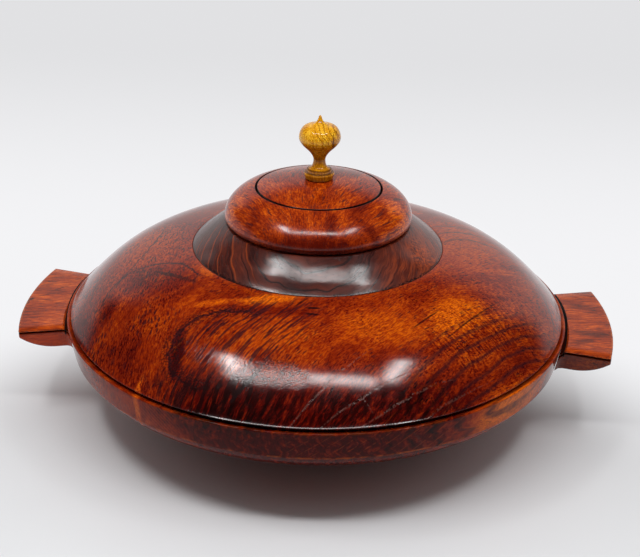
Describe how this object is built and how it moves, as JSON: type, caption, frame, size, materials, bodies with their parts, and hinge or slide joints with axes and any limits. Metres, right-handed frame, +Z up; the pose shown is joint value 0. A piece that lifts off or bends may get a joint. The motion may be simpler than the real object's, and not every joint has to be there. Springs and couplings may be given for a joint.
{
  "type": "two-handled lidded wooden vessel",
  "caption": "Wide, low turned wooden vessel with a domed upper half, lug handles, a contrasting collar and a lift-off lid with a finial.",
  "frame": {"origin": "centre of the foot's underside, on the surface that the vessel stands on", "axes": "+X towards the right-hand handle, +Y to the back, +Z up along the turning axis"},
  "size_m": [0.3924, 0.33, 0.2014],
  "materials": {
    "vessel_wood": "red-brown figured wood under gloss lacquer",
    "handle_wood": "red-brown wood under gloss lacquer",
    "collar_wood": "dark purple-brown wood under gloss lacquer",
    "lid_wood": "orange-brown figured wood under gloss lacquer",
    "finial_wood": "golden streaked wood under gloss lacquer"
  },
  "bodies": {
    "vessel": {"lower_bowl": "vessel_wood", "upper_shoulder": "vessel_wood", "collar_ring": "collar_wood", "handle_right": "handle_wood", "handle_left": "handle_wood"},
    "lid": {"lid_body": "lid_wood", "lid_disc": "lid_wood", "finial": "finial_wood"}
  },
  "joints": [
    {"name": "lid_lift", "type": "slide", "parent": "vessel", "child": "lid", "axis": [0, 0, 1], "range_m": [0, 0.09]}
  ]
}
